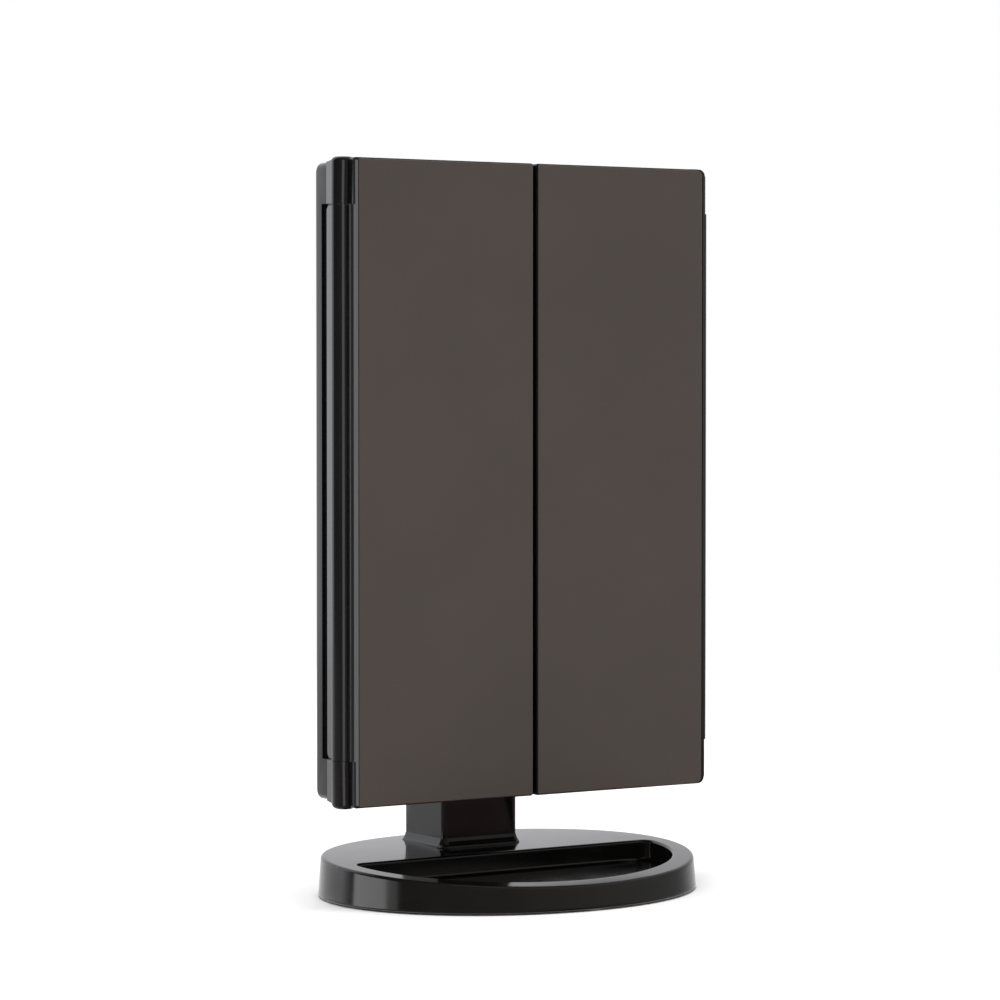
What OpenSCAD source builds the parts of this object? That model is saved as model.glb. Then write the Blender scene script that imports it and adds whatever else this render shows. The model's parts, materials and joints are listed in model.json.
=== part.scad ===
// Folding table mirror with a lit centre glass.
// A centre case carries two hinged wings, drawn folded shut in front of it, and tilts on a column
// that stands on a weighted oval base with a tray. Front is -Y, up is +Z, and the origin is on the
// table under the middle of the base.

/* [Head] */
// Distance between the hinge axes of the two wings
head_w = 162; // [160:1:166]
// Height of the wings
head_h = 246; // [242:1:250]
// Height of the wings' lower edge above the table
head_lift = 39.5; // [39:0.5:42]
// Thickness of one wing
wing_t = 9.5; // [9.3:0.1:9.8]
// Thickness of the centre case, from the hinge axes to its back
case_t = 24; // [23.8:0.1:24.4]
// Distance from the middle of the base forward to the front of the folded wings
head_front = 19.5; // [19:0.1:20]
// Gap between the two folded wings
wing_gap = 1.7; // [1.2:0.1:2.5]
// Radius of the hinge barrels
barrel_r = 4.7; // [4.4:0.1:4.8]
// Height of the four fixed hinge knuckles
knuckle_h = 17.5; // [14:0.5:20]

/* [Mirrors and light] */
// Width of the centre glass
glass_w = 120; // [112:1:121]
// Thickness of all the glass
glass_t = 1.7; // [1.5:0.1:1.8]
// Width of one light strip
strip_w = 11; // [10:0.5:11]
// Lamps in one light strip
strip_leds = 10; // [6:1:12]

/* [Stand] */
// Half of the base's width
base_a = 78.4; // [77:0.2:82]
// Half of the base's depth
base_b = 64.4; // [64:0.2:68]
// Height of the base at the highest point of its crowned top
base_top = 16.3; // [16:0.1:17]
// Height of the tray's floor
tray_floor = 7; // [6.6:0.1:8]
// Half of the tray's width
tray_a = 69; // [66:0.5:69.5]
// Half depth of the oval that bounds the tray's front
tray_b = 54; // [50:0.5:54.5]
// Distance from the middle of the base back to the tray's straight rear wall
tray_back = 4; // [2:0.5:8]
// Width of the column
col_w = 35; // [34:0.5:37]
// Depth of the column
col_d = 30; // [29:0.5:31]
// Distance from the middle of the base back to the column's front
col_front = 20.7; // [20.4:0.1:22]
// Height of the tilt axis
tilt_z = 88; // [86:1:92]

/* [Hidden] */

$fn = 48;
over = 1;            // how far a cut runs past the face it opens
corner_fn = 32;      // steps in the corners of moulded outlines
oval_steps = 96;     // straight steps in an oval outline

// Colours
black = [0.07, 0.07, 0.075];
panel_grey = [0.32, 0.29, 0.28];
steel = [0.72, 0.72, 0.74];
nickel = [0.8, 0.79, 0.76];
silvered = [0.82, 0.85, 0.88];
frosted = [0.93, 0.93, 0.91];
board_white = [0.88, 0.88, 0.85];
board_green = [0.1, 0.36, 0.2];
lamp_yellow = [0.95, 0.85, 0.4];
tape_grey = [0.3, 0.3, 0.31];
rubber_black = [0.05, 0.05, 0.05];
copper = [0.8, 0.5, 0.3];
cell_green = [0.2, 0.42, 0.34];
wire_red = [0.7, 0.1, 0.08];

// Head planes, from front to back
fold_gap = 0.5;                              // between the folded wings and the case
axis_x = head_w / 2;
axis_y = wing_t - head_front;
wing_front = -head_front;
wing_back = axis_y - fold_gap / 2;
case_front = axis_y + fold_gap / 2;
case_back = axis_y + case_t;
parting = case_back - 9.7;                   // where the back cover meets the centre frame
cover_inside = case_back - 2.4;              // inner face of the back cover
cover_round = 2.4;                           // radius of the back cover's rear edges

// Head outline
case_x = axis_x - 0.8;                       // the walls stay inside the hinge axes
wing_side = axis_x + 0.5;
wing_pad = 0.8;                              // the wings' sides swell out between the knuckles
wing_z = [head_lift, head_lift + head_h];
case_z = [wing_z[0] + 0.7, wing_z[1] - 0.7];
knuckle_z = [wing_z[0] - 0.8, wing_z[1] + 0.5];
knuckle_end = [[1.7, 0], [0.85, 0.35], [0.3, 0.95], [0, 1.8]]; // distance from the end, reach lost
spine_z = [wing_z[0] + knuckle_h, wing_z[1] - knuckle_h];
spine_gap = 0.2;
channel_r = barrel_r + 0.4;
case_wall = 2.4;
case_corner = 3;
middle_corner = 0.8;                         // the wings' corners beside the gap
left_corner = 1;                             // and beside the hinges
right_corner = 2.8;

// Hinge pins
pin_r = 1.25;
pin_fit = 0.05;
pin_len = 28;
pin_z = [knuckle_z[0] + 2.5, knuckle_z[1] - 2.5];

// Centre frame
face_t = 3.25;                               // thickness of its front face
face_back = case_front + face_t;
tape_t = 0.3;
glass_seat = case_front + glass_t + tape_t + 0.3;
glass_z = [wing_z[0] + 12.5, wing_z[1] - 12.5];
strip_x = glass_w / 2 + 2;
strip_z = [wing_z[0] + 17.7, wing_z[1] - 17.7];
diffuser_t = 1.7;
led_board_y = [face_back + 2.3, face_back + 3.3];
cavity_x = axis_x - channel_r - 2.4;         // inner half width beside the hinge channels
mid_z = (wing_z[0] + wing_z[1]) / 2;
cover_posts = [
    [glass_w / 2 - 4, wing_z[0] + 9],
    [glass_w / 2 - 4, mid_z],
    [glass_w / 2 - 4, wing_z[1] - 9]
];
catch_w = 9;                                 // lip at the middle of the top and bottom edges

// Side channel of the case, with a raised strip in it
groove_w = 3.5;
groove_d = 1.5;
channel_d = 1.2;
channel_z = [spine_z[0] - 0.8, spine_z[1] + 0.8];
raised_y = [parting - 4.9, parting - 0.3];
raised_end = 0.7;
raised_r = 2.2;

// Shoulders between the case and its knuckles: distance forward of the parting, share of the rise
shoulder_w = 4.6;
shoulder_rise = [[1.6, 0.12], [3.7, 0.5], [5.7, 0.85], [7.9, 1]];

// Battery compartment, four cells lying one above another
cell_r = 5.2;
cell_len = 44;
cell_pitch = 11.2;
cells = 4;
tray_wall = 1.2;
bay_x = cell_len / 2 + 4.3;
bay_h = cells * cell_pitch + 0.8;
bay_mid = mid_z + 38;
bay_z = [bay_mid - bay_h / 2, bay_mid + bay_h / 2];
bay_floor = cover_inside - 2 * cell_r - 1;
lid_margin = 2.5;
lid_t = 1.2;
lid_gap = 0.2;

// Control board with its socket and switch, facing the back cover
board_x = [24, 58];
board_z = [wing_z[0] + 19, wing_z[0] + 49];
board_y = [face_back + 7.5, face_back + 8.7];
socket_at = [33, board_z[0] + 7];
socket_size = [7.6, 3];
switch_at = [48, board_z[0] + 7];
switch_size = [9, 4.4];
switch_travel = 2.5;
knob_size = [3, 2.6];
touch_at = [0, wing_z[0] + 25];
touch_r = 6;

// Tilt hinge between the column and the head
col_back = col_front + col_d;
tilt_y = col_front + col_d / 2;
tilt_r = 3;
tongue_r = 10;
tongue_w = 22.8;
washer_t = 1.4;
fork_w = tongue_w + 2 * washer_t + 0.3;
fork_floor = tilt_z - 16;
bracket_t = 3;
bracket_half = [22, 20];
bracket_screw_at = [16, 14];
cap_r = 5;
cap_t = 1.6;
cap_sunk = 1.1;

// Column
col_t = 2.2;
col_corner = 2;
seat_z = base_top - 1.7;                     // floor of the pocket that the column stands in
foot_t = 3;
foot_flare = [[0, 1.7], [1.7, 1.6], [2.5, 1], [3.5, 0.5], [5, 0]]; // height above the seat, reach
col_screw_at = [10.5, 8.5];
rear_screw_z = [seat_z + 14, fork_floor - 9];

// Base
lip_z = 0.8;                                 // the shell's lower edge, held up by the feet
draft = 1;
crown_r = 984;                               // the top rises in a long arc from front to back
crown_y = 49;
shell_t = 2.2;
tray_corner = 4;
plate_z = [1, 2.6];
pad_t = 3.2;
foot_at = [[50, -33], [46, 34]];
boss_at = [[62, 18], [34, 46]];
front_boss = [0, -59.2];
base_boss_r = 2.7;

// Wings: the left one is drawn in place, and the right one is its mirror image
wing_x = [-wing_side, -wing_gap / 2];
wing_face = wing_front + 0.2;                // front of the rim beside the cover
cover_seat = wing_front + 1;
rim_w = 1.5;
cover_slit = 0.3;
cover_lap = 0.4;                             // the cover ends this far inside the frame's edges
web_back = wing_back - glass_t - tape_t - 0.1;
web_front = web_back - 2;
wing_glass_x = [-axis_x + 9, -wing_gap / 2 - 4.5];
wing_glass_z = [wing_z[0] + 8.5, wing_z[1] - 8.5];
split_z = wing_z[0] + 134;                   // between the lower and the upper magnifying glass
lower_z = [wing_glass_z[0], split_z - 3];
upper_z = [split_z + 3, wing_glass_z[1]];

// ---------- shared shapes ----------

module oval(a, b) {
    polygon([for (i = [0:oval_steps - 1]) [a * cos(360 * i / oval_steps), b * sin(360 * i / oval_steps)]]);
}

module rounded_rect(w, h, r) {
    offset(r = r, $fn = corner_fn)
        square([w - 2 * r, h - 2 * r], center = true);
}

// An upright plate between two planes of each direction, with its corners rounded in the front view
module plate(x, y, z, r = 0) {
    translate([(x[0] + x[1]) / 2, y[1], (z[0] + z[1]) / 2])
        rotate([90, 0, 0])
            linear_extrude(y[1] - y[0])
                if (r > 0) rounded_rect(x[1] - x[0], z[1] - z[0], r);
                else square([x[1] - x[0], z[1] - z[0]], center = true);
}

module rod_x(y, z, x0, x1, r) {
    translate([x0, y, z])
        rotate([0, 90, 0])
            cylinder(r = r, h = x1 - x0);
}

module rod_y(at, y0, y1, r) {
    translate([at[0], y1, at[1]])
        rotate([90, 0, 0])
            cylinder(r = r, h = y1 - y0);
}

module rod_z(at, z0, z1, r) {
    translate([at[0], at[1], z0])
        cylinder(r = r, h = z1 - z0);
}

module both_sides() {
    children();
    mirror([1, 0, 0]) children();
}

// Four copies about the middle of the tilt bracket or the column
module four_corners(half) {
    for (sx = [-1, 1], sy = [-1, 1])
        translate([sx * half[0], sy * half[1], 0])
            children();
}

// A pan-head screw whose head lies on z = 0 and whose thread points up
module screw(head_r, head_h, r, len) {
    translate([0, 0, -head_h])
        difference() {
            cylinder(r = head_r, h = head_h);
            for (a = [0, 90])
                rotate([0, 0, a])
                    cube([head_r * 1.2, head_r * 0.28, head_h], center = true);
        }
    translate([0, 0, -0.1])
        cylinder(r = r, h = len + 0.1);
}

// ---------- stand ----------

module base_block(inset, z0, drop) {
    intersection() {
        hull() {
            translate([0, 0, z0])
                linear_extrude(0.1)
                    oval(base_a - inset, base_b - inset);
            translate([0, 0, base_top])
                linear_extrude(0.1)
                    oval(base_a - inset - draft, base_b - inset - draft);
        }
        translate([0, crown_y, base_top - crown_r - drop])
            rotate([0, 90, 0])
                cylinder(r = crown_r, h = 2 * base_a + 20, center = true, $fn = 256);
    }
}

module tray_outline() {
    offset(r = tray_corner, $fn = 64)
        offset(delta = -tray_corner)
            intersection() {
                oval(tray_a, tray_b);
                translate([-base_a, tray_back - 2 * base_b]) square([2 * base_a, 2 * base_b]);
            }
}

module column_outline() {
    translate([0, tilt_y])
        rounded_rect(col_w, col_d, col_corner);
}

module foot_outline(grow) {
    offset(r = grow, $fn = corner_fn)
        column_outline();
}

// The column's foot spreads out in a short hollow curve where it meets the base
module column_foot() {
    for (i = [1:len(foot_flare) - 1])
        hull()
            for (step = [foot_flare[i - 1], foot_flare[i] - [0.05, 0]])
                translate([0, 0, seat_z + step[0]])
                    linear_extrude(0.05)
                        foot_outline(step[1]);
}

module base_boss_places() {
    both_sides()
        for (p = boss_at)
            translate([p[0], p[1], 0])
                children();
    translate([front_boss[0], front_boss[1], 0])
        children();
}

module base_shell() {
    color(black)
    difference() {
        union() {
            difference() {
                base_block(0, lip_z, 0);
                difference() {
                    base_block(shell_t, -over, shell_t);
                    translate([0, 0, tray_floor - shell_t])
                        linear_extrude(base_top)
                            offset(r = shell_t, $fn = 64) tray_outline();
                }
            }
            translate([0, tilt_y, seat_z - pad_t])
                linear_extrude(pad_t - 0.2)
                    rounded_rect(col_w + 8, col_d + 8, col_corner);
            intersection() {
                base_block(shell_t / 2, -over, shell_t / 2);
                translate([0, 0, plate_z[1]])
                    base_boss_places()
                        cylinder(r = base_boss_r, h = base_top);
            }
        }
        translate([0, 0, tray_floor])
            linear_extrude(base_top)
                tray_outline();
        translate([0, 0, seat_z])
            linear_extrude(base_top)
                foot_outline(foot_flare[0][1] + 0.15);
        translate([0, 0, plate_z[1] - over])
            base_boss_places()
                cylinder(r = 1.2, h = 5.5 + over);
        translate([0, tilt_y, seat_z - pad_t - over])
            four_corners(col_screw_at)
                cylinder(r = 1.7, h = pad_t + 2 * over);
    }
}

module base_plate() {
    color(black)
    difference() {
        translate([0, 0, plate_z[0]])
            linear_extrude(plate_z[1] - plate_z[0])
                oval(base_a - shell_t - 0.4, base_b - shell_t - 0.4);
        for (p = foot_at)
            both_sides()
                translate([p[0], p[1], plate_z[0] - over])
                    cylinder(r = 6.1, h = over + 0.6);
        base_boss_places() {
            cylinder(r = 1.6, h = 10);
            cylinder(r = 2.9, h = plate_z[0] + 0.8);
        }
    }
}

module base_weight() {
    color(steel)
    translate([0, 0, plate_z[1]])
        linear_extrude(2)
            difference() {
                oval(base_a - 12, base_b - 9);
                both_sides()
                    for (p = boss_at)
                        translate(p) circle(r = base_boss_r + 1);
            }
}

module base_feet() {
    color(rubber_black)
    both_sides()
        for (p = foot_at)
            translate([p[0], p[1], 0])
                cylinder(r = 6, h = plate_z[0] + 0.6);
}

module base_screws() {
    color(steel)
    translate([0, 0, plate_z[0] + 0.8])
        base_boss_places()
            screw(2.6, 0.7, 1.15, 5.8);
}

// Column side view: straight sides with a half-round top about the tilt axis
module column_side() {
    polygon(concat(
        [[col_back, seat_z], [col_front, seat_z]],
        [for (a = [180:-6:0]) [tilt_y + col_d / 2 * cos(a), tilt_z + col_d / 2 * sin(a)]]
    ));
}

module column_shell() {
    inner_x = col_w / 2 - col_t;
    color(black)
    difference() {
        union() {
            difference() {
                intersection() {
                    translate([0, 0, seat_z])
                        linear_extrude(tilt_z)
                            column_outline();
                    translate([-col_w, 0, 0])
                        rotate([90, 0, 90])
                            linear_extrude(2 * col_w)
                                column_side();
                }
                plate([-inner_x, inner_x], [col_front + col_t, col_back + over],
                      [seat_z + foot_t, fork_floor - col_t]);
            }
            difference() {
                column_foot();
                translate([0, 0, seat_z - over])
                    linear_extrude(10)
                        offset(delta = -col_t) column_outline();
            }
            for (z = rear_screw_z)
                rod_y([0, z], col_front + 1, col_back - 2, 3);
            translate([0, tilt_y, seat_z + foot_t - 1])
                four_corners(col_screw_at)
                    cylinder(r = 3.4, h = 8);
        }
        plate([-fork_w / 2, fork_w / 2], [col_front - over, col_back + over],
              [fork_floor, tilt_z + col_d]);
        rod_x(tilt_y, tilt_z, -col_w, col_w, tilt_r);
        rod_x(tilt_y, tilt_z, col_w / 2 - cap_sunk, col_w, cap_r + 0.1);
        rod_x(tilt_y, tilt_z, -col_w, cap_sunk - col_w / 2, cap_r + 0.1);
        translate([0, tilt_y, seat_z - over])
            four_corners(col_screw_at)
                cylinder(r = 1.35, h = over + 8.5);
        for (z = rear_screw_z)
            rod_y([0, z], col_back - 12, col_back, 1.1);
    }
}

module column_rear_cover() {
    foot_top = foot_flare[len(foot_flare) - 1][0];
    color(black)
    difference() {
        plate([0.25 - col_w / 2 + col_t, col_w / 2 - col_t - 0.25], [col_back - 2, col_back],
              [seat_z + foot_top + 0.25, fork_floor - col_t - 0.25], 0.8);
        for (z = rear_screw_z) {
            rod_y([0, z], col_back - 3, col_back + over, 1.3);
            rod_y([0, z], col_back - 1.2, col_back + over, 2.4);
        }
    }
}

module column_screws() {
    color(steel)
    translate([0, tilt_y, seat_z - pad_t])
        four_corners(col_screw_at)
            screw(2.8, 2, 1.35, 11);
}

module rear_cover_screws() {
    color(steel)
    for (z = rear_screw_z)
        translate([0, col_back - 1.2, z])
            rotate([90, 0, 0])
                screw(2.3, 1.1, 1.1, 8);
}

module tilt_pin() {
    color(steel)
    rod_x(tilt_y, tilt_z, cap_sunk - col_w / 2, col_w / 2 - cap_sunk, tilt_r);
}

module tilt_pin_caps() {
    color(black)
    both_sides()
        rod_x(tilt_y, tilt_z, col_w / 2 - cap_sunk, col_w / 2 - cap_sunk + cap_t, cap_r);
}

// ---------- centre case ----------

// One fixed knuckle: a barrel from z0 up to z1 with its far end rounded off
module knuckle(z0, z1) {
    rod_z([0, 0], z0, z1 - knuckle_end[0][0], barrel_r);
    for (i = [0:len(knuckle_end) - 2]) {
        low = knuckle_end[i];
        high = knuckle_end[i + 1];
        translate([0, 0, z1 - low[0]])
            cylinder(h = low[0] - high[0], r1 = barrel_r - low[1], r2 = barrel_r - high[1]);
    }
}

module knuckles() {
    both_sides()
        translate([axis_x, axis_y, 0]) {
            knuckle(spine_z[1], knuckle_z[1]);
            mirror([0, 0, 1]) knuckle(-spine_z[0], -knuckle_z[0]);
        }
}

// Sloping shoulder from one end of the case up to a knuckle, rise high
module shoulder(z, rise) {
    translate([case_x - shoulder_w, 0, z])
        rotate([90, 0, 90])
            linear_extrude(shoulder_w)
                polygon([
                    [case_front, -2 * rise], [parting, -2 * rise], [parting, 0],
                    for (step = shoulder_rise) [parting - step[0], step[1] * rise],
                    [case_front, rise]
                ]);
}

module shoulders() {
    both_sides() {
        shoulder(case_z[1], knuckle_z[1] - case_z[1]);
        mirror([0, 0, 1]) shoulder(-case_z[0], case_z[0] - knuckle_z[0]);
    }
}

// Raised strip with round ends in the channel along each side of the case
module side_strip() {
    y = (raised_y[0] + raised_y[1]) / 2;
    h = channel_z[1] - channel_z[0] - 2 * raised_end;
    translate([case_x - channel_d - 0.2, y, mid_z])
        rotate([90, 0, 90])
            linear_extrude(channel_d + 0.2)
                rounded_rect(raised_y[1] - raised_y[0], h, raised_r);
}

module centre_frame() {
    color(black)
    difference() {
        union() {
            difference() {
                plate([-case_x, case_x], [case_front, parting], case_z, case_corner);
                plate([-cavity_x, cavity_x], [face_back, parting + over],
                      [case_z[0] + case_wall, case_z[1] - case_wall]);
                plate([case_wall - case_x, case_x - case_wall], [axis_y + channel_r + 2, parting + over],
                      [case_z[0] + case_wall, case_z[1] - case_wall]);
                both_sides() {
                    rod_z([axis_x, axis_y], spine_z[0], spine_z[1], channel_r);
                    plate([case_x - channel_d, case_x + over], [axis_y, parting + over], channel_z);
                }
            }
            knuckles();
            shoulders();
            both_sides() {
                side_strip();
                plate([strip_x - 1, strip_x + 0.9], [face_back - 0.5, led_board_y[0]], strip_z);
                plate([strip_x + strip_w - 0.9, cavity_x + 0.5], [face_back - 0.5, led_board_y[0]], strip_z);
                for (p = cover_posts)
                    rod_y(p, face_back - 0.5, cover_inside - 1, 3.4);
            }
            for (p = [[board_x[0] + 3, board_z[1] - 3], [board_x[1] - 3, board_z[1] - 3]])
                rod_y(p, face_back - 0.5, board_y[0], 2.6);
            for (z = [wing_z[0] - 0.5, case_z[1] - 0.4])
                plate([-catch_w / 2, catch_w / 2], [case_front, case_front + 5.5], [z, z + 1.6]);
        }
        plate([-glass_w / 2 - 0.2, glass_w / 2 + 0.2], [case_front - over, glass_seat],
              [glass_z[0] - 0.2, glass_z[1] + 0.2]);
        both_sides() {
            plate([strip_x, strip_x + strip_w], [case_front - over, case_front + diffuser_t + 0.2],
                  strip_z, 1.5);
            plate([strip_x + 1.2, strip_x + strip_w - 1.2], [case_front - over, face_back + 0.5],
                  [strip_z[0] + 2, strip_z[1] - 2]);
            rod_z([axis_x, axis_y], pin_z[0], spine_z[0] + over, pin_r + pin_fit);
            rod_z([axis_x, axis_y], spine_z[1] - over, pin_z[1], pin_r + pin_fit);
            for (p = cover_posts)
                rod_y(p, parting - 6, cover_inside, 1.2);
        }
        rod_y(touch_at, case_front, face_back + over, 2);
        for (p = [[board_x[0] + 3, board_z[1] - 3], [board_x[1] - 3, board_z[1] - 3]])
            rod_y(p, face_back + 0.6, board_y[0] + over, 0.9);
    }
}

// Solid outline of the back cover, with its rear edges rounded off
module cover_block() {
    hull() {
        for (step = [[0, 1], [0.29, 0.29], [1, 0]]) {
            inset = step[0] * cover_round;
            plate([inset - case_x, case_x - inset],
                  [parting, case_back - step[1] * cover_round],
                  [case_z[0] + inset, case_z[1] - inset], case_corner);
        }
    }
}

module back_cover() {
    color(black)
    difference() {
        union() {
            difference() {
                cover_block();
                plate([3.2 - case_x, case_x - 3.2], [parting - over, cover_inside],
                      [case_z[0] + case_wall, case_z[1] - case_wall], 1);
            }
            translate([0, cover_inside + 0.2, tilt_z])
                rotate([90, 0, 0])
                    four_corners(bracket_screw_at)
                        cylinder(r = 3.2, h = 6);
        }
        both_sides() {
            plate([case_x - groove_d, case_x + over], [parting - over, parting + groove_w],
                  channel_z);
            for (p = cover_posts) {
                rod_y(p, cover_inside - over, case_back + over, 1.5);
                rod_y(p, case_back - 1.5, case_back + over, 2.7);
            }
        }
        plate([-bay_x, bay_x], [cover_inside - over, case_back + over], bay_z, 1);
        plate([-bay_x - lid_margin, bay_x + lid_margin], [case_back - lid_t - 0.1, case_back + over],
              [bay_z[0] - lid_margin, bay_z[1] + lid_margin], 2);
        plate([socket_at[0] - socket_size[0] / 2 - 0.3, socket_at[0] + socket_size[0] / 2 + 0.3],
              [cover_inside - over, case_back + over],
              [socket_at[1] - socket_size[1] / 2 - 0.3, socket_at[1] + socket_size[1] / 2 + 0.3]);
        plate([switch_at[0] - (knob_size[0] + switch_travel) / 2 - 0.3,
               switch_at[0] + (knob_size[0] + switch_travel) / 2 + 0.3],
              [cover_inside - over, case_back + over],
              [switch_at[1] - knob_size[1] / 2 - 0.3, switch_at[1] + knob_size[1] / 2 + 0.3]);
        translate([0, case_back + over, tilt_z])
            rotate([90, 0, 0])
                four_corners(bracket_screw_at)
                    cylinder(r = 1.2, h = 8 + over);
    }
}

module back_cover_screws() {
    color(steel)
    both_sides()
        for (p = cover_posts)
            translate([p[0], case_back - 1.5, p[1]])
                rotate([90, 0, 0])
                    screw(2.6, 1.3, 1.2, 7);
}

module centre_mirror() {
    color(silvered)
    plate([-glass_w / 2, glass_w / 2], [glass_seat - tape_t - glass_t, glass_seat - tape_t], glass_z);
}

module centre_mirror_tape() {
    color(tape_grey)
    difference() {
        plate([3 - glass_w / 2, glass_w / 2 - 3], [glass_seat - tape_t, glass_seat],
              [glass_z[0] + 3, glass_z[1] - 3]);
        rod_y(touch_at, glass_seat - 2, glass_seat + over, touch_r + 1);
    }
}

module diffuser() {
    plate([strip_x + 0.15, strip_x + strip_w - 0.15], [case_front + 0.2, case_front + 0.2 + diffuser_t],
          [strip_z[0] + 0.15, strip_z[1] - 0.15], 1.4);
}

module led_board() {
    plate([strip_x + 0.1, strip_x + strip_w - 0.1], led_board_y, [strip_z[0] + 1, strip_z[1] - 1]);
}

module leds() {
    pitch = (strip_z[1] - strip_z[0] - 14) / (strip_leds - 1);
    for (i = [0:strip_leds - 1])
        translate([strip_x + strip_w / 2, led_board_y[0] - 0.4, strip_z[0] + 7 + i * pitch])
            cube([3.5, 0.8, 2.8], center = true);
}

module left_diffuser() {
    color(frosted)
    mirror([1, 0, 0]) diffuser();
}

module right_diffuser() {
    color(frosted)
    diffuser();
}

module left_led_board() {
    color(board_white)
    mirror([1, 0, 0]) led_board();
}

module right_led_board() {
    color(board_white)
    led_board();
}

module left_leds() {
    color(lamp_yellow)
    mirror([1, 0, 0]) leds();
}

module right_leds() {
    color(lamp_yellow)
    leds();
}

// ---------- electrics ----------

module control_board() {
    color(board_green)
    difference() {
        union() {
            plate(board_x, board_y, board_z);
            plate([board_x[0] + 12, board_x[0] + 17], [board_y[1], board_y[1] + 1.2],
                  [board_z[0] + 16, board_z[0] + 21]);
            plate([board_x[0] + 22, board_x[0] + 26], [board_y[1], board_y[1] + 1.6],
                  [board_z[0] + 17, board_z[0] + 24]);
        }
        for (x = [board_x[0] + 3, board_x[1] - 3])
            rod_y([x, board_z[1] - 3], board_y[0] - over, board_y[1] + over, 1.1);
    }
}

module board_screws() {
    color(steel)
    for (x = [board_x[0] + 3, board_x[1] - 3])
        translate([x, board_y[1], board_z[1] - 3])
            rotate([90, 0, 0])
                screw(1.9, 1, 0.9, 5);
}

module touch_electrode() {
    color(copper)
    rod_y(touch_at, glass_seat - tape_t, glass_seat, touch_r);
}

module usb_socket() {
    w = socket_size[0];
    h = socket_size[1];
    color(nickel)
    translate([socket_at[0], 0, socket_at[1]])
        difference() {
            plate([-w / 2, w / 2], [board_y[1], case_back - 0.6], [-h / 2, h / 2], 0.6);
            plate([0.4 - w / 2, w / 2 - 0.4], [case_back - 6, case_back], [0.4 - h / 2, h / 2 - 0.4], 0.4);
        }
    color(black)
    translate([socket_at[0], 0, socket_at[1]])
        plate([-2, 2], [case_back - 6.2, case_back - 1.6], [-0.4, 0.3]);
}

module switch_housing() {
    w = switch_size[0];
    h = switch_size[1];
    color(black)
    plate([switch_at[0] - w / 2, switch_at[0] + w / 2], [board_y[1], cover_inside - 0.7],
          [switch_at[1] - h / 2, switch_at[1] + h / 2]);
}

module switch_slider() {
    x = switch_at[0] - switch_travel / 2;
    z = switch_at[1];
    color(board_white) {
        plate([x - 2.4, x + 2.4], [cover_inside - 0.55, cover_inside - 0.15], [z - 1.9, z + 1.9]);
        plate([x - knob_size[0] / 2, x + knob_size[0] / 2], [cover_inside - 0.4, case_back + 0.9],
              [z - knob_size[1] / 2, z + knob_size[1] / 2], 0.4);
    }
}

module battery_tray() {
    color(black)
    difference() {
        plate([-bay_x - tray_wall, bay_x + tray_wall], [bay_floor - tray_wall, cover_inside],
              [bay_z[0] - tray_wall, bay_z[1] + tray_wall], 1.5);
        plate([-bay_x, bay_x], [bay_floor, cover_inside + over], bay_z, 1);
    }
}

module cell_places() {
    for (i = [0:cells - 1])
        translate([0, bay_floor + cell_r + 0.2, bay_mid + (i - (cells - 1) / 2) * cell_pitch])
            rotate([0, 90, 180 * (i % 2)])
                children();
}

module batteries() {
    color(cell_green)
    cell_places() {
        cylinder(r = cell_r, h = cell_len - 1.2, center = true);
        translate([0, 0, cell_len / 2 - 0.7])
            cylinder(r = 1.9, h = 1.4);
    }
}

// Flat plates at the cells' positive ends, and conical spring contacts at the others
module battery_contacts() {
    color(nickel)
    cell_places() {
        translate([-4.2, -3.8, bay_x - 0.5])
            cube([8.4, 7.6, 0.4]);
        translate([0, 0, cell_len / 2 + 0.75])
            cylinder(r = 2.4, h = bay_x - cell_len / 2 - 1);
        translate([-4.2, -3.8, 0.1 - bay_x])
            cube([8.4, 7.6, 0.4]);
        translate([0, 0, 0.4 - bay_x])
            difference() {
                cylinder(r1 = 3.6, r2 = 2.2, h = bay_x - cell_len / 2);
                translate([0, 0, -0.1])
                    cylinder(r1 = 2.9, r2 = 1.5, h = bay_x - cell_len / 2 + 0.2);
            }
    }
}

// A lead through a list of points, as round links from one point to the next
module lead(points, r) {
    for (i = [0:len(points) - 2])
        hull() {
            translate(points[i]) sphere(r = r, $fn = 8);
            translate(points[i + 1]) sphere(r = r, $fn = 8);
        }
}

module wiring() {
    y = board_y[1] + 1;
    low = board_z[0] + 12;
    across = face_back + 1.3;
    color(wire_red) {
        for (k = [0, 1])
            lead([
                [board_x[0] + 6 + 2 * k, y, low + 14],
                [board_x[0] + 6 + 2 * k, y, bay_z[0] - 14],
                [20 + 2 * k, y - 3, bay_z[0] - 6],
                [20 + 2 * k, bay_floor + 2, bay_z[0] - tray_wall - 0.7]
            ], 0.6);
        lead([
            [board_x[1] - 1, board_y[0] - 0.7, low + 6],
            [board_x[1] + 1.5, led_board_y[1] + 0.7, low + 10],
            [strip_x + 4, led_board_y[1] + 0.7, low + 12]
        ], 0.6);
        lead([
            [board_x[0] + 2, board_y[0] - 0.7, low + 8],
            [0, across, low + 12],
            [-strip_x + 6, across, low + 16],
            [-strip_x + 3.2, led_board_y[1] + 0.7, low + 18],
            [-strip_x - 4, led_board_y[1] + 0.7, low + 18]
        ], 0.6);
        lead([
            [touch_at[0], glass_seat + 0.65, touch_at[1]],
            [touch_at[0], face_back + 1.4, touch_at[1]],
            [board_x[0] + 2, board_y[0] - 0.7, low + 2]
        ], 0.6);
    }
}

// ---------- tilt bracket ----------

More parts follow.
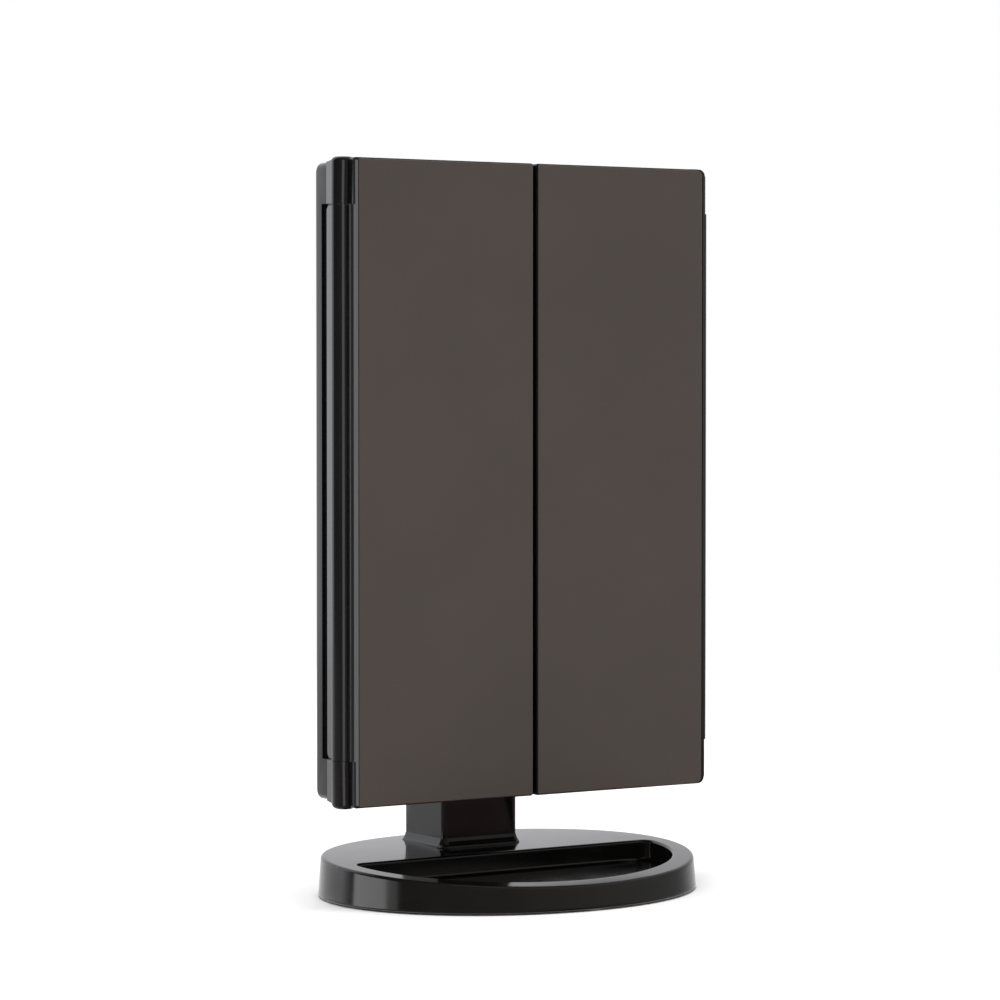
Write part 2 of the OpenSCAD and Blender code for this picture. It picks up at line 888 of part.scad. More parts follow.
module tilt_bracket() {
    root = case_back + bracket_t;
    color(black)
    difference() {
        union() {
            plate([-bracket_half[0], bracket_half[0]], [case_back, root],
                  [tilt_z - bracket_half[1], tilt_z + bracket_half[1]], 4);
            translate([-tongue_w / 2, 0, 0])
                rotate([90, 0, 90])
                    linear_extrude(tongue_w)
                        polygon([
                            [root - 0.5, tilt_z - 11], [root - 0.5, tilt_z + 11],
                            [tilt_y, tilt_z + tongue_r - 0.2], [tilt_y, tilt_z - tongue_r + 0.2]
                        ]);
            rod_x(tilt_y, tilt_z, -tongue_w / 2, tongue_w / 2, tongue_r);
        }
        rod_x(tilt_y, tilt_z, -tongue_w, tongue_w, tilt_r + pin_fit);
        translate([0, root + over, tilt_z])
            rotate([90, 0, 0])
                four_corners(bracket_screw_at)
                    cylinder(r = 1.5, h = bracket_t + 2 * over);
    }
}

module bracket_screws() {
    color(steel)
    for (sx = [-1, 1], sz = [-1, 1])
        translate([sx * bracket_screw_at[0], case_back + bracket_t, tilt_z + sz * bracket_screw_at[1]])
            rotate([90, 0, 0])
                screw(2.7, 1.6, 1.2, 9);
}

module friction_washers() {
    color(steel)
    both_sides()
        difference() {
            rod_x(tilt_y, tilt_z, tongue_w / 2, tongue_w / 2 + washer_t, tongue_r - 1);
            rod_x(tilt_y, tilt_z, 0, tongue_w, tilt_r + pin_fit);
        }
}

module battery_cover() {
    x = bay_x + lid_margin - lid_gap;
    z = [bay_z[0] - lid_margin + lid_gap, bay_z[1] + lid_margin - lid_gap];
    color(black)
    difference() {
        plate([-x, x], [case_back - lid_t, case_back], z, 1.8);
        for (i = [0:3])
            plate([-7 + i, 7 - i], [case_back - 0.4, case_back + over],
                  [z[1] - 6 - 2 * i, z[1] - 5 - 2 * i]);
    }
}

// ---------- wings ----------
// Plan of the swelling on a wing's side, with its front edge eased off
module wing_pad_outline() {
    x = wing_x[0];
    polygon([
        [x + 0.7, axis_y - 3], [x - wing_pad, axis_y - 3], [x - wing_pad, wing_face + 0.9],
        [x - 0.6 * wing_pad, wing_face + 0.4], [x + 0.1, wing_face], [x + 0.7, wing_face]
    ]);
}

// Plan of the rim that stands beside the cover, with its outer edge rounded off
module wing_rim_outline() {
    x = wing_x[0];
    polygon([
        [x, cover_seat + 0.2], [x, cover_seat - 0.1], [x + 0.2, wing_face + 0.25],
        [x + 0.6, wing_face], [x + rim_w, wing_face], [x + rim_w, cover_seat + 0.2]
    ]);
}

// Plate with one corner radius beside the hinge and another beside the gap
module wing_plate(x, y, z, side_r) {
    translate([0, y[1], 0])
        rotate([90, 0, 0])
            linear_extrude(y[1] - y[0])
                hull()
                    for (end = [0, 1]) {
                        inward = 1 - 2 * end;
                        translate([x[0] + side_r, z[end] + inward * side_r])
                            circle(side_r, $fn = corner_fn);
                        translate([x[1] - middle_corner, z[end] + inward * middle_corner])
                            circle(middle_corner, $fn = corner_fn);
                    }
}

module wing_frame(pockets, side_r) {
    difference() {
        union() {
            wing_plate(wing_x, [cover_seat, wing_back], wing_z, side_r);
            rod_z([-axis_x, axis_y], spine_z[0] + spine_gap, spine_z[1] - spine_gap, barrel_r);
            translate([0, 0, spine_z[0] + spine_gap])
                linear_extrude(spine_z[1] - spine_z[0] - 2 * spine_gap)
                    wing_pad_outline();
            translate([0, 0, wing_z[0] + side_r])
                linear_extrude(head_h - 2 * side_r)
                    wing_rim_outline();
        }
        plate([-axis_x + barrel_r + 0.2, wing_x[1] - 2.4], [cover_seat - over, web_front],
              [wing_z[0] + 3, wing_z[1] - 3], 2);
        for (z = pockets)
            plate(wing_glass_x, [web_back, wing_back + over], z, 2);
        rod_z([-axis_x, axis_y], wing_z[0] - over, spine_z[0], channel_r);
        rod_z([-axis_x, axis_y], spine_z[1], wing_z[1] + over, channel_r);
        rod_z([-axis_x, axis_y], spine_z[0], pin_z[0] + pin_len, pin_r);
        rod_z([-axis_x, axis_y], pin_z[1] - pin_len, spine_z[1], pin_r);
    }
}

module wing_cover(side_r) {
    wing_plate([wing_x[0] + rim_w + cover_slit, wing_x[1] - cover_lap], [wing_front, cover_seat],
               [wing_z[0] + cover_lap, wing_z[1] - cover_lap], side_r);
}

module wing_glass(z) {
    plate([wing_glass_x[0] + 0.15, wing_glass_x[1] - 0.15],
          [web_back + tape_t, web_back + tape_t + glass_t], [z[0] + 0.15, z[1] - 0.15], 1.8);
}

module wing_tape(z) {
    plate([wing_glass_x[0] + 3, wing_glass_x[1] - 3], [web_back, web_back + tape_t],
          [z[0] + 3, z[1] - 3]);
}

module hinge_pins() {
    rod_z([-axis_x, axis_y], pin_z[0] + 0.3, pin_z[0] + pin_len, pin_r);
    rod_z([-axis_x, axis_y], pin_z[1] - pin_len, pin_z[1] - 0.3, pin_r);
}

module left_wing_frame() {
    color(black)
    wing_frame([lower_z, upper_z], left_corner);
}

module left_wing_cover() {
    color(panel_grey)
    wing_cover(left_corner - cover_lap);
}

module left_upper_mirror() {
    color(silvered)
    wing_glass(upper_z);
}

module left_lower_mirror() {
    color(silvered)
    wing_glass(lower_z);
}

module left_mirror_tape() {
    color(tape_grey) {
        wing_tape(upper_z);
        wing_tape(lower_z);
    }
}

module left_hinge_pins() {
    color(steel)
    hinge_pins();
}

module right_wing_frame() {
    color(black)
    mirror([1, 0, 0]) wing_frame([wing_glass_z], right_corner);
}

module right_wing_cover() {
    color(panel_grey)
    mirror([1, 0, 0]) wing_cover(right_corner - cover_lap);
}

module right_mirror() {
    color(silvered)
    mirror([1, 0, 0]) wing_glass(wing_glass_z);
}

module right_mirror_tape() {
    color(tape_grey)
    mirror([1, 0, 0]) wing_tape(wing_glass_z);
}

module right_hinge_pins() {
    color(steel)
    mirror([1, 0, 0]) hinge_pins();
}

base_shell();
base_plate();
base_weight();
base_feet();
base_screws();
column_shell();
column_rear_cover();
column_screws();
rear_cover_screws();
tilt_pin();
tilt_pin_caps();
centre_frame();
back_cover();
back_cover_screws();
centre_mirror();
centre_mirror_tape();
left_diffuser();
right_diffuser();
left_led_board();
right_led_board();
left_leds();
right_leds();
control_board();
board_screws();
touch_electrode();
usb_socket();
switch_housing();
battery_tray();
batteries();
battery_contacts();
wiring();
tilt_bracket();
bracket_screws();
friction_washers();
battery_cover();
switch_slider();
left_wing_frame();
left_wing_cover();
left_upper_mirror();
left_lower_mirror();
left_mirror_tape();
left_hinge_pins();
right_wing_frame();
right_wing_cover();
right_mirror();
right_mirror_tape();
right_hinge_pins();
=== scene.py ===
"""Looks of the folding lighted table mirror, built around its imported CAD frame."""
import json
import math

import bmesh
import bpy
from mathutils import Matrix, Vector


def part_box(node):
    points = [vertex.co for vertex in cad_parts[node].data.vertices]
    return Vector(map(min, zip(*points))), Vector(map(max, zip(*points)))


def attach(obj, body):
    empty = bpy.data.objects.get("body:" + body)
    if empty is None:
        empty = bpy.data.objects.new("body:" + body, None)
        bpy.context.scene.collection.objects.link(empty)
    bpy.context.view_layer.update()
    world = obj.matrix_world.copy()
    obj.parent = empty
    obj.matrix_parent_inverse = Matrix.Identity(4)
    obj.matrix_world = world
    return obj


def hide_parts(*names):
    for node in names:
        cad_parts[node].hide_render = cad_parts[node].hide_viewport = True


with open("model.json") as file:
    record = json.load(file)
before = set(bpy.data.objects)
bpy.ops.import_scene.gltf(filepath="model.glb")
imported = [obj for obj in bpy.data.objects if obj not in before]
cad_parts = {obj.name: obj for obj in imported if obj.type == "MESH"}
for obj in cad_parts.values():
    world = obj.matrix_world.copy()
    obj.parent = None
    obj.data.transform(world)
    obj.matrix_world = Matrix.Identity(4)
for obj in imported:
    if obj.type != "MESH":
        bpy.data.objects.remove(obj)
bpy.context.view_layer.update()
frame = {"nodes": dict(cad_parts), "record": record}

MM = 0.001


# ---------- the CAD's driving dimensions, in millimetres ----------

def cad_mm(node):
    """Lowest and highest corner of a CAD node, in millimetres."""
    lo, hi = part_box(node)
    return lo / MM, hi / MM


shell_lo, shell_hi = cad_mm("base_shell")
BASE_A = shell_hi.x
BASE_B = shell_hi.y
BASE_TOP = shell_hi.z
LIP_Z = shell_lo.z
CROWN_R = 984.0      # the top is part of a wide cylinder,
CROWN_Y = 49.0       # highest here
DRAFT = 1.0          # how far the side wall leans in
TRAY_FLOOR = 7.0
TRAY_A = 69.0
TRAY_B = 54.0
TRAY_BACK = 4.0
TRAY_CORNER = 4.0
RAY_Y = -20.0        # the base's and the tray's outlines are matched by rays from here
WALL = 2.2


# ---------- mesh helpers ----------

def add_object(name, mesh):
    obj = bpy.data.objects.new(name, mesh)
    bpy.context.scene.collection.objects.link(obj)
    return obj


def finish_mesh(bm, name):
    """Turns a bmesh in millimetres into a smooth-shaded object in metres."""
    bmesh.ops.recalc_face_normals(bm, faces=bm.faces)
    bmesh.ops.scale(bm, vec=(MM, MM, MM), verts=bm.verts)
    for face in bm.faces:
        face.smooth = True
    mesh = bpy.data.meshes.new(name)
    bm.to_mesh(mesh)
    bm.free()
    obj = add_object(name, mesh)
    weighted = obj.modifiers.new("even_normals", "WEIGHTED_NORMAL")
    weighted.keep_sharp = True
    return obj


def add_rows(bm, rings):
    """Vertices for rings of points, all with the same number of points."""
    return [[bm.verts.new(p) for p in ring] for ring in rings]


def add_skin(bm, rows):
    for a, b in zip(rows, rows[1:]):
        for i in range(len(a)):
            j = (i + 1) % len(a)
            bm.faces.new((a[i], a[j], b[j], b[i]))


def loft(name, rings):
    """A closed solid: a skin over the rings, with the first and the last ring capped."""
    bm = bmesh.new()
    rows = add_rows(bm, rings)
    add_skin(bm, rows)
    bm.faces.new(rows[0][::-1])
    bm.faces.new(rows[-1])
    return finish_mesh(bm, name)


def loft_double(name, outside, inside):
    """A double-walled skin: the last outside ring and the first inside ring are capped."""
    bm = bmesh.new()
    out_rows = add_rows(bm, outside)
    in_rows = add_rows(bm, inside)
    add_skin(bm, out_rows)
    add_skin(bm, in_rows)
    add_skin(bm, [in_rows[-1], out_rows[0]])
    bm.faces.new(out_rows[-1])
    bm.faces.new(in_rows[0])
    return finish_mesh(bm, name)


def arc(count, start=0.0, end=90.0):
    """Angles in radians, evenly spaced from start to end in degrees."""
    return [math.radians(start + (end - start) * i / count) for i in range(count + 1)]


def rect_outline(x, z, radius, steps):
    """A rounded rectangle between x[0], x[1] and z[0], z[1], as points (x, z)."""
    points = []
    corners = [(x[1], z[1], 0), (x[0], z[1], 90), (x[0], z[0], 180), (x[1], z[0], 270)]
    for cx, cz, start in corners:
        ox = cx - math.copysign(radius, cx - (x[0] + x[1]) / 2)
        oz = cz - math.copysign(radius, cz - (z[0] + z[1]) / 2)
        for t in arc(steps, start, start + 90):
            points.append((ox + radius * math.cos(t), oz + radius * math.sin(t)))
    return points


MERGE_GAP = 0.002      # mm
FLAT_ANGLE = 0.5       # degrees; faces that meet at less are one flat face
SHARP_ANGLE = 32.0     # degrees; edges that turn by more are rounded


def refined(node, edge, reshape=None):
    """A copy of a CAD node with its flat faces merged and its edges rounded, standing for the node."""
    bm = bmesh.new()
    bm.from_mesh(frame["nodes"][node].data)
    bmesh.ops.scale(bm, vec=(1 / MM, 1 / MM, 1 / MM), verts=bm.verts)
    bmesh.ops.remove_doubles(bm, verts=bm.verts, dist=MERGE_GAP)
    bmesh.ops.dissolve_limit(
        bm, angle_limit=math.radians(FLAT_ANGLE), verts=bm.verts, edges=bm.edges, delimit=set()
    )
    if reshape:
        reshape(bm)
    limit = math.radians(SHARP_ANGLE)
    rims = [e for e in bm.edges if len(e.link_faces) == 2 and e.calc_face_angle(0) > limit]
    bmesh.ops.bevel(
        bm, geom=rims, offset=edge, offset_type="OFFSET", segments=2,
        profile=0.5, affect="EDGES", clamp_overlap=True,
    )
    obj = finish_mesh(bm, node + "_detail")
    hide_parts(node)
    return obj


def settle(obj, body, material):
    """Gives a piece its body and its material."""
    obj.data.materials.clear()
    obj.data.materials.append(material)
    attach(obj, body)
    return obj


# ---------- materials ----------

def mixed(tree, factor, first, second):
    """A colour between first and second, each a socket or (red, green, blue)."""
    node = tree.nodes.new("ShaderNodeMix")
    node.data_type = "RGBA"
    tree.links.new(factor, node.inputs["Factor"])
    for socket, colour in ((node.inputs["A"], first), (node.inputs["B"], second)):
        if isinstance(colour, bpy.types.NodeSocket):
            tree.links.new(colour, socket)
        else:
            socket.default_value = (*colour, 1)
    return node.outputs["Result"]


class Shader:
    """A new material and short names for the nodes that these surfaces need."""

    def __init__(self, name):
        self.material = bpy.data.materials.new(name)
        self.material.use_nodes = True
        self.tree = self.material.node_tree
        self.bsdf = self.tree.nodes["Principled BSDF"]
        self.coords = self.tree.nodes.new("ShaderNodeTexCoord").outputs["Object"]

    def put(self, **values):
        for key, value in values.items():
            self.bsdf.inputs[key.replace("_", " ")].default_value = value
        return self

    def link(self, output, target):
        self.tree.links.new(output, target)

    def stretch(self, scale):
        node = self.tree.nodes.new("ShaderNodeMapping")
        node.inputs["Scale"].default_value = scale
        self.link(self.coords, node.inputs["Vector"])
        return node.outputs["Vector"]

    def noise(self, scale, detail=3.0, roughness=0.55, vector=None):
        node = self.tree.nodes.new("ShaderNodeTexNoise")
        node.inputs["Scale"].default_value = scale
        node.inputs["Detail"].default_value = detail
        node.inputs["Roughness"].default_value = roughness
        self.link(vector or self.coords, node.inputs["Vector"])
        return node.outputs["Fac"]

    def remap(self, value, low, high, to_low, to_high):
        node = self.tree.nodes.new("ShaderNodeMapRange")
        node.inputs["From Min"].default_value = low
        node.inputs["From Max"].default_value = high
        node.inputs["To Min"].default_value = to_low
        node.inputs["To Max"].default_value = to_high
        self.link(value, node.inputs["Value"])
        return node.outputs["Result"]

    def blend(self, factor, first, second):
        return mixed(self.tree, factor, first, second)

    def colour(self, socket):
        self.link(socket, self.bsdf.inputs["Base Color"])
        return self

    def rough(self, value, low, high):
        self.link(self.remap(value, 0.3, 0.7, low, high), self.bsdf.inputs["Roughness"])
        return self

    def bump(self, *layers):
        """Each layer is (height, strength, distance in mm), one over the other."""
        last = None
        for height, strength, distance in layers:
            node = self.tree.nodes.new("ShaderNodeBump")
            node.inputs["Strength"].default_value = strength
            node.inputs["Distance"].default_value = distance * MM
            self.link(height, node.inputs["Height"])
            if last is not None:
                self.link(last, node.inputs["Normal"])
            last = node.outputs["Normal"]
        self.link(last, self.bsdf.inputs["Normal"])
        return self


def moulded(name, dark, light, rough, grain, depth, ior=1.5):
    """Moulded plastic: slow colour drift, uneven gloss, and a fine eroded grain, depth in mm."""
    s = Shader(name)
    drift = s.noise(18, 4)
    smear = s.noise(55, 5, 0.6)
    fine = s.noise(grain, 2, 0.5)
    waves = s.noise(7, 2)
    s.colour(s.blend(s.remap(drift, 0.3, 0.7, 0, 1), dark, light))
    s.rough(smear, *rough)
    s.bump((fine, 0.3, depth), (waves, 0.1, 0.04))
    s.put(IOR=ior)
    return s.material


def polished(name, ior):
    """Polished black plastic; a higher index than the plastic's own stands for the shine."""
    return moulded(name, (0.005, 0.005, 0.0055), (0.008, 0.008, 0.0085), (0.12, 0.18), 3200, 0.001, ior)


def metal(name, dark, light, rough, along):
    """Brushed or plated metal, with streaks as fine as along says in each direction."""
    s = Shader(name)
    streaks = s.noise(1, 4, 0.6, s.stretch(along))
    s.colour(s.blend(streaks, dark, light))
    s.rough(streaks, *rough)
    s.bump((streaks, 0.15, 0.004))
    s.put(Metallic=1.0)
    return s.material


def silvered_glass():
    s = Shader("mirror_glass")
    haze = s.noise(30, 5, 0.65)
    s.colour(s.blend(haze, (0.86, 0.89, 0.9), (0.9, 0.925, 0.93)))
    s.rough(haze, 0.015, 0.04)
    s.put(Metallic=1.0)
    return s.material


def frosted_acrylic():
    s = Shader("frosted_acrylic")
    s.colour(s.blend(s.noise(60, 3), (0.84, 0.85, 0.84), (0.9, 0.9, 0.88)))
    s.rough(s.noise(240, 3), 0.4, 0.52)
    s.bump((s.noise(3500, 2), 0.4, 0.006))
    s.put(Transmission_Weight=0.55, IOR=1.49)
    return s.material


# Two colours, range of roughness, grain per metre, depth of the grain in mm
PLASTICS = {
    "case_plastic": ((0.0045, 0.0045, 0.005), (0.007, 0.007, 0.0078), (0.1, 0.16), 3200, 0.002),
    "base_plastic": ((0.0045, 0.0042, 0.004), (0.007, 0.0065, 0.006), (0.1, 0.16), 2600, 0.0015),
    "panel_plastic": ((0.065, 0.0525, 0.046), (0.070, 0.0565, 0.0495), (0.42, 0.5), 2800, 0.006),
    "rubber": ((0.02, 0.02, 0.02), (0.032, 0.031, 0.03), (0.7, 0.85), 1500, 0.03),
    "foam_tape": ((0.06, 0.06, 0.065), (0.09, 0.09, 0.09), (0.8, 0.9), 900, 0.05),
    "led_board": ((0.74, 0.74, 0.71), (0.8, 0.8, 0.77), (0.35, 0.45), 1800, 0.004),
    "led_lamp": ((0.86, 0.7, 0.2), (0.92, 0.8, 0.34), (0.2, 0.3), 900, 0.004),
    "circuit_board": ((0.012, 0.12, 0.045), (0.02, 0.17, 0.065), (0.25, 0.4), 700, 0.01),
    "cell_sleeve": ((0.03, 0.15, 0.11), (0.05, 0.2, 0.15), (0.2, 0.3), 900, 0.003),
    "wire_sleeve": ((0.4, 0.02, 0.015), (0.5, 0.035, 0.025), (0.35, 0.5), 1200, 0.006),
    "switch_plastic": ((0.66, 0.66, 0.63), (0.72, 0.72, 0.69), (0.35, 0.45), 1800, 0.004),
}

# Two colours, range of roughness, streaks per metre along x, y and z
METALS = {
    "plated_steel": ((0.5, 0.5, 0.51), (0.66, 0.66, 0.68), (0.24, 0.4), (900, 900, 120)),
    "nickel": ((0.62, 0.61, 0.58), (0.75, 0.74, 0.7), (0.16, 0.28), (400, 400, 400)),
    "ballast_steel": ((0.24, 0.24, 0.25), (0.34, 0.33, 0.33), (0.4, 0.6), (200, 200, 200)),
    "copper": ((0.65, 0.36, 0.2), (0.78, 0.45, 0.28), (0.25, 0.4), (300, 300, 300)),
}

MATERIALS = {slot: moulded(slot, *look) for slot, look in PLASTICS.items()}
MATERIALS.update({slot: metal(slot, *look) for slot, look in METALS.items()})
MATERIALS["mirror_glass"] = silvered_glass()
MATERIALS["frosted_acrylic"] = frosted_acrylic()


# ---------- base ----------

def crown(y):
    """Height of the base's top surface at a distance y back from the middle."""
    return BASE_TOP - CROWN_R + math.sqrt(CROWN_R ** 2 - (y - CROWN_Y) ** 2)


RIM_STEPS = 200
CORNER_STEPS = 12
BACK_STEPS = 90


def tray_rim():
    """Spine points and outward normals of the tray's outline, TRAY_CORNER inside it."""
    rim = []
    for i in range(RIM_STEPS):
        t = math.radians(90) + 2 * math.pi * (i + 1 / 3) / RIM_STEPS
        nx, ny = math.cos(t) / TRAY_A, math.sin(t) / TRAY_B
        size = math.hypot(nx, ny)
        nx, ny = nx / size, ny / size
        qx = TRAY_A * math.cos(t) - TRAY_CORNER * nx
        qy = TRAY_B * math.sin(t) - TRAY_CORNER * ny
        if qy <= TRAY_BACK - TRAY_CORNER:
            rim.append((qx, qy, nx, ny))
    qx, qy, nx, ny = rim[-1]
    start = math.atan2(ny, nx)
    turns = [start + (math.pi / 2 - start) * k / CORNER_STEPS for k in range(1, CORNER_STEPS + 1)]
    right_corner = [(qx, qy, math.cos(t), math.sin(t)) for t in turns]
    left_corner = [(-x, y, -nx, ny) for x, y, nx, ny in reversed(right_corner)]
    rise = TRAY_BACK - RAY_Y
    first = math.atan2(rise, qx)
    back = []
    for k in range(1, BACK_STEPS):
        t = first + (math.pi - 2 * first) * k / BACK_STEPS
        back.append((rise / math.tan(t), qy, 0.0, 1.0))
    return rim + right_corner + back + left_corner


def tray_ring(rim, grow, height):
    """Points of the tray's outline, grown outwards; height is a number or a function of y."""
    reach = TRAY_CORNER + grow
    ring = []
    for qx, qy, nx, ny in rim:
        x, y = qx + reach * nx, qy + reach * ny
        ring.append((x, y, height(y) if callable(height) else height))
    return ring


def base_ring(rim, inset, height):
    """Points of the base's outline, moved inwards, each on a ray through the matching tray point."""
    a, b = BASE_A - inset, BASE_B - inset
    ring = []
    for qx, qy, nx, ny in rim:
        dx, dy = qx + TRAY_CORNER * nx, qy + TRAY_CORNER * ny - RAY_Y
        qa = (dx / a) ** 2 + (dy / b) ** 2
        qb = 2 * RAY_Y * dy / b ** 2
        qc = (RAY_Y / b) ** 2 - 1
        s = (-qb + math.sqrt(qb * qb - 4 * qa * qc)) / (2 * qa)
        x, y = dx * s, RAY_Y + dy * s
        ring.append((x, y, height(y) if callable(height) else height))
    return ring


def mix_ring(first, second, share, height):
    """Points a share of the way from the first ring to the second."""
    ring = []
    for p, q in zip(first, second):
        x = p[0] + (q[0] - p[0]) * share
        y = p[1] + (q[1] - p[1]) * share
        ring.append((x, y, height(y)))
    return ring


def base_skin():
    """The base: flared side wall, rounded rim, crowned top, and the tray sunk into it."""
    rim = tray_rim()
    rim_r, lip_r, toe_r = 1.3, 1.1, 1.4
    foot_edge = 0.35
    flare = ((0.0, foot_edge), (0.15, 1.2), (0.3, 2.6))
    flare_in, flare_up = flare[-1]

    # Side wall, from the lower lip up
    rings = [base_ring(rim, WALL, LIP_Z), base_ring(rim, foot_edge, LIP_Z)]
    for inset, rise in flare:
        rings.append(base_ring(rim, inset, LIP_Z + rise))
    wall_foot = LIP_Z + flare_up
    for share in (0.35, 0.6, 0.85):
        rings.append(base_ring(
            rim, flare_in + (DRAFT - flare_in) * share,
            lambda y, s=share: wall_foot + (crown(y) - rim_r - wall_foot) * s,
        ))

    # Rim and top
    for t in arc(6):
        rings.append(base_ring(
            rim, DRAFT + rim_r * (1 - math.cos(t)),
            lambda y, t=t: crown(y) - rim_r * (1 - math.sin(t)),
        ))
    outer, inner = rings[-1], tray_ring(rim, lip_r, crown)
    for share in (0.15, 0.3, 0.5, 0.7, 0.85):
        rings.append(mix_ring(outer, inner, share, crown))

    # Tray
    for t in arc(6):
        rings.append(tray_ring(
            rim, lip_r * (1 - math.sin(t)), lambda y, t=t: crown(y) - lip_r * (1 - math.cos(t))
        ))
    for t in arc(5):
        rings.append(tray_ring(rim, -toe_r * (1 - math.cos(t)), TRAY_FLOOR + toe_r * (1 - math.sin(t))))

    under = TRAY_FLOOR - WALL
    inside = [
        tray_ring(rim, -toe_r, under),
        tray_ring(rim, WALL, under),
        tray_ring(rim, WALL, lambda y: crown(y) - WALL),
        base_ring(rim, DRAFT + WALL, lambda y: crown(y) - WALL),
    ]
    return loft_double("base_shell_skin", rings, inside)


shell = base_skin()
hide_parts("base_shell")
settle(shell, "stand", MATERIALS["base_plastic"])


# ---------- the CAD nodes, refined ----------

BODY_OF = {n: body for body, nodes in frame["record"]["behaviour"]["bodies"].items() for n in nodes}
SLOT_OF = {part["node"]: part["material_slot"] for part in frame["record"]["subparts"]}

# Edge rounding of each refined node, in millimetres
EDGES = {
    "column_shell": 0.5, "column_rear_cover": 0.3, "base_plate": 0.4, "base_feet": 0.4,
    "centre_frame": 0.3, "back_cover": 0.3, "battery_cover": 0.3, "tilt_bracket": 0.6,
    "left_wing_frame": 0.3, "right_wing_frame": 0.3, "left_wing_cover": 0.4, "right_wing_cover": 0.4,
    "switch_slider": 0.2, "usb_socket": 0.1, "base_screws": 0.1, "rear_cover_screws": 0.1,
    "back_cover_screws": 0.1, "bracket_screws": 0.12, "friction_washers": 0.15, "tilt_pin_caps": 0.4,
    "left_hinge_pins": 0.15, "right_hinge_pins": 0.15, "left_diffuser": 0.2, "right_diffuser": 0.2,
    "centre_mirror": 0.15, "right_mirror": 0.15,
}

# Where the wings' outer front edge begins, and how steeply the left one's falls back
RIM_X = 80.3
RIM_Y = cad_mm("left_wing_frame")[0].y
RIM_SLOPE = 0.85

# The polished faces, in millimetres: the strip along the case's side, and the wings' rims
STRIP_X = 79.95
STRIP_Y = (-5.4, 4.2)
WING_RIM_X = 79.9
WING_RIM_Y = -16.5


def chamfer_rim(bm):
    """Slopes the outer front edge of a wing's frame."""
    for vert in bm.verts:
        beyond = abs(vert.co.x) - RIM_X
        if beyond > 0:
            vert.co.y = max(vert.co.y, RIM_Y + RIM_SLOPE * beyond)


def polish(obj, finish, shows):
    """Gives the faces that shows(centre in mm, normal) picks a polished finish."""
    obj.data.materials.append(finish)
    for face in obj.data.polygons:
        if shows(face.center / MM, face.normal):
            face.material_index = 1


def on_case_side(centre, normal):
    faces_out = abs(normal.x) > 0.6
    return faces_out and abs(centre.x) > STRIP_X and STRIP_Y[0] < centre.y < STRIP_Y[1]


def on_wing_rim(centre, normal):
    faces_front = normal.y < -0.1
    return faces_front and abs(centre.x) > WING_RIM_X and centre.y < WING_RIM_Y


DISH_DEPTH = 0.6
DISH_ROWS = 14


def dished_glass(node):
    """A magnifying glass: a rounded plate whose rear face is hollowed into a shallow dish."""
    gap, corner = 0.15, 1.8
    bulge, brim = 1.002, 0.985
    lo, hi = cad_mm(node)
    mid_x, mid_z = (lo.x + hi.x) / 2, (lo.z + hi.z) / 2
    outline = rect_outline((lo.x + gap, hi.x - gap), (lo.z + gap, hi.z - gap), corner, 6)

    def ring(share, y):
        return [(mid_x + (x - mid_x) * share, y, mid_z + (z - mid_z) * share) for x, z in outline]

    rings = [ring(1, lo.y), ring(bulge, lo.y + 0.15), ring(bulge, hi.y - 0.2), ring(brim, hi.y)]
    for i in range(1, DISH_ROWS):
        inward = 1 - i / DISH_ROWS
        rings.append(ring(brim * inward, hi.y - DISH_DEPTH * (1 - inward ** 2)))
    obj = loft(node + "_dish", rings)
    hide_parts(node)
    return obj


DISHED = ("left_upper_mirror", "left_lower_mirror")
RESHAPE = {"left_wing_frame": chamfer_rim}
STRIP_POLISH = polished("case_polish", 2.5)
RIM_POLISH = polished("rim_polish", 1.78)
POLISHED = {
    "centre_frame": (STRIP_POLISH, on_case_side),
    "left_wing_frame": (RIM_POLISH, on_wing_rim),
    "right_wing_frame": (RIM_POLISH, on_wing_rim),
}

for node, obj in frame["nodes"].items():
    slot = SLOT_OF[node]
    if node == "base_shell":
        continue
    if node in DISHED:
        settle(dished_glass(node), BODY_OF[node], MATERIALS[slot])
    elif node in EDGES:
        piece = refined(node, EDGES[node], RESHAPE.get(node))
        settle(piece, BODY_OF[node], MATERIALS[slot])
        if node in POLISHED:
            polish(piece, *POLISHED[node])
    else:
        obj.data.materials.clear()
        obj.data.materials.append(MATERIALS[slot])


# ---------- floor, light and camera ----------

YAW = math.radians(32.666)
PITCH = math.radians(1.889)
DISTANCE = 1.4355
LENS = 131.65
SHIFT = (0.00485, -0.0055)
TARGET = Vector((-0.00635, 0, 0.1566))
FLOOR_R = 1.1
forward = Vector((math.sin(YAW) * math.cos(PITCH), math.cos(YAW) * math.cos(PITCH), -math.sin(PITCH)))
right = Vector((math.cos(YAW), -math.sin(YAW), 0))
up = right.cross(forward)


def add_camera():
    data = bpy.data.cameras.new("camera")
    data.lens = LENS
    data.sensor_width = 36
    data.shift_x, data.shift_y = SHIFT
    camera = add_object("camera", data)
    place = TARGET - forward * DISTANCE
    rows = [(right[i], up[i], -forward[i], place[i]) for i in range(3)]
    camera.matrix_world = Matrix([*rows, (0, 0, 0, 1)])
    bpy.context.scene.camera = camera


def add_floor():
    """A round pale sheet, small enough for its far edge to melt into the white behind it."""
    bm = bmesh.new()
    bmesh.ops.create_circle(bm, cap_ends=True, segments=96, radius=FLOOR_R)
    mesh = bpy.data.meshes.new("floor")
    bm.to_mesh(mesh)
    bm.free()
    floor = add_object("floor", mesh)
    s = Shader("floor_sweep")
    s.colour(s.blend(s.noise(2, 2), (0.94, 0.94, 0.94), (0.96, 0.96, 0.96)))
    s.put(Roughness=0.9, Specular_IOR_Level=0.1)
    mesh.materials.append(s.material)
    floor.visible_glossy = False


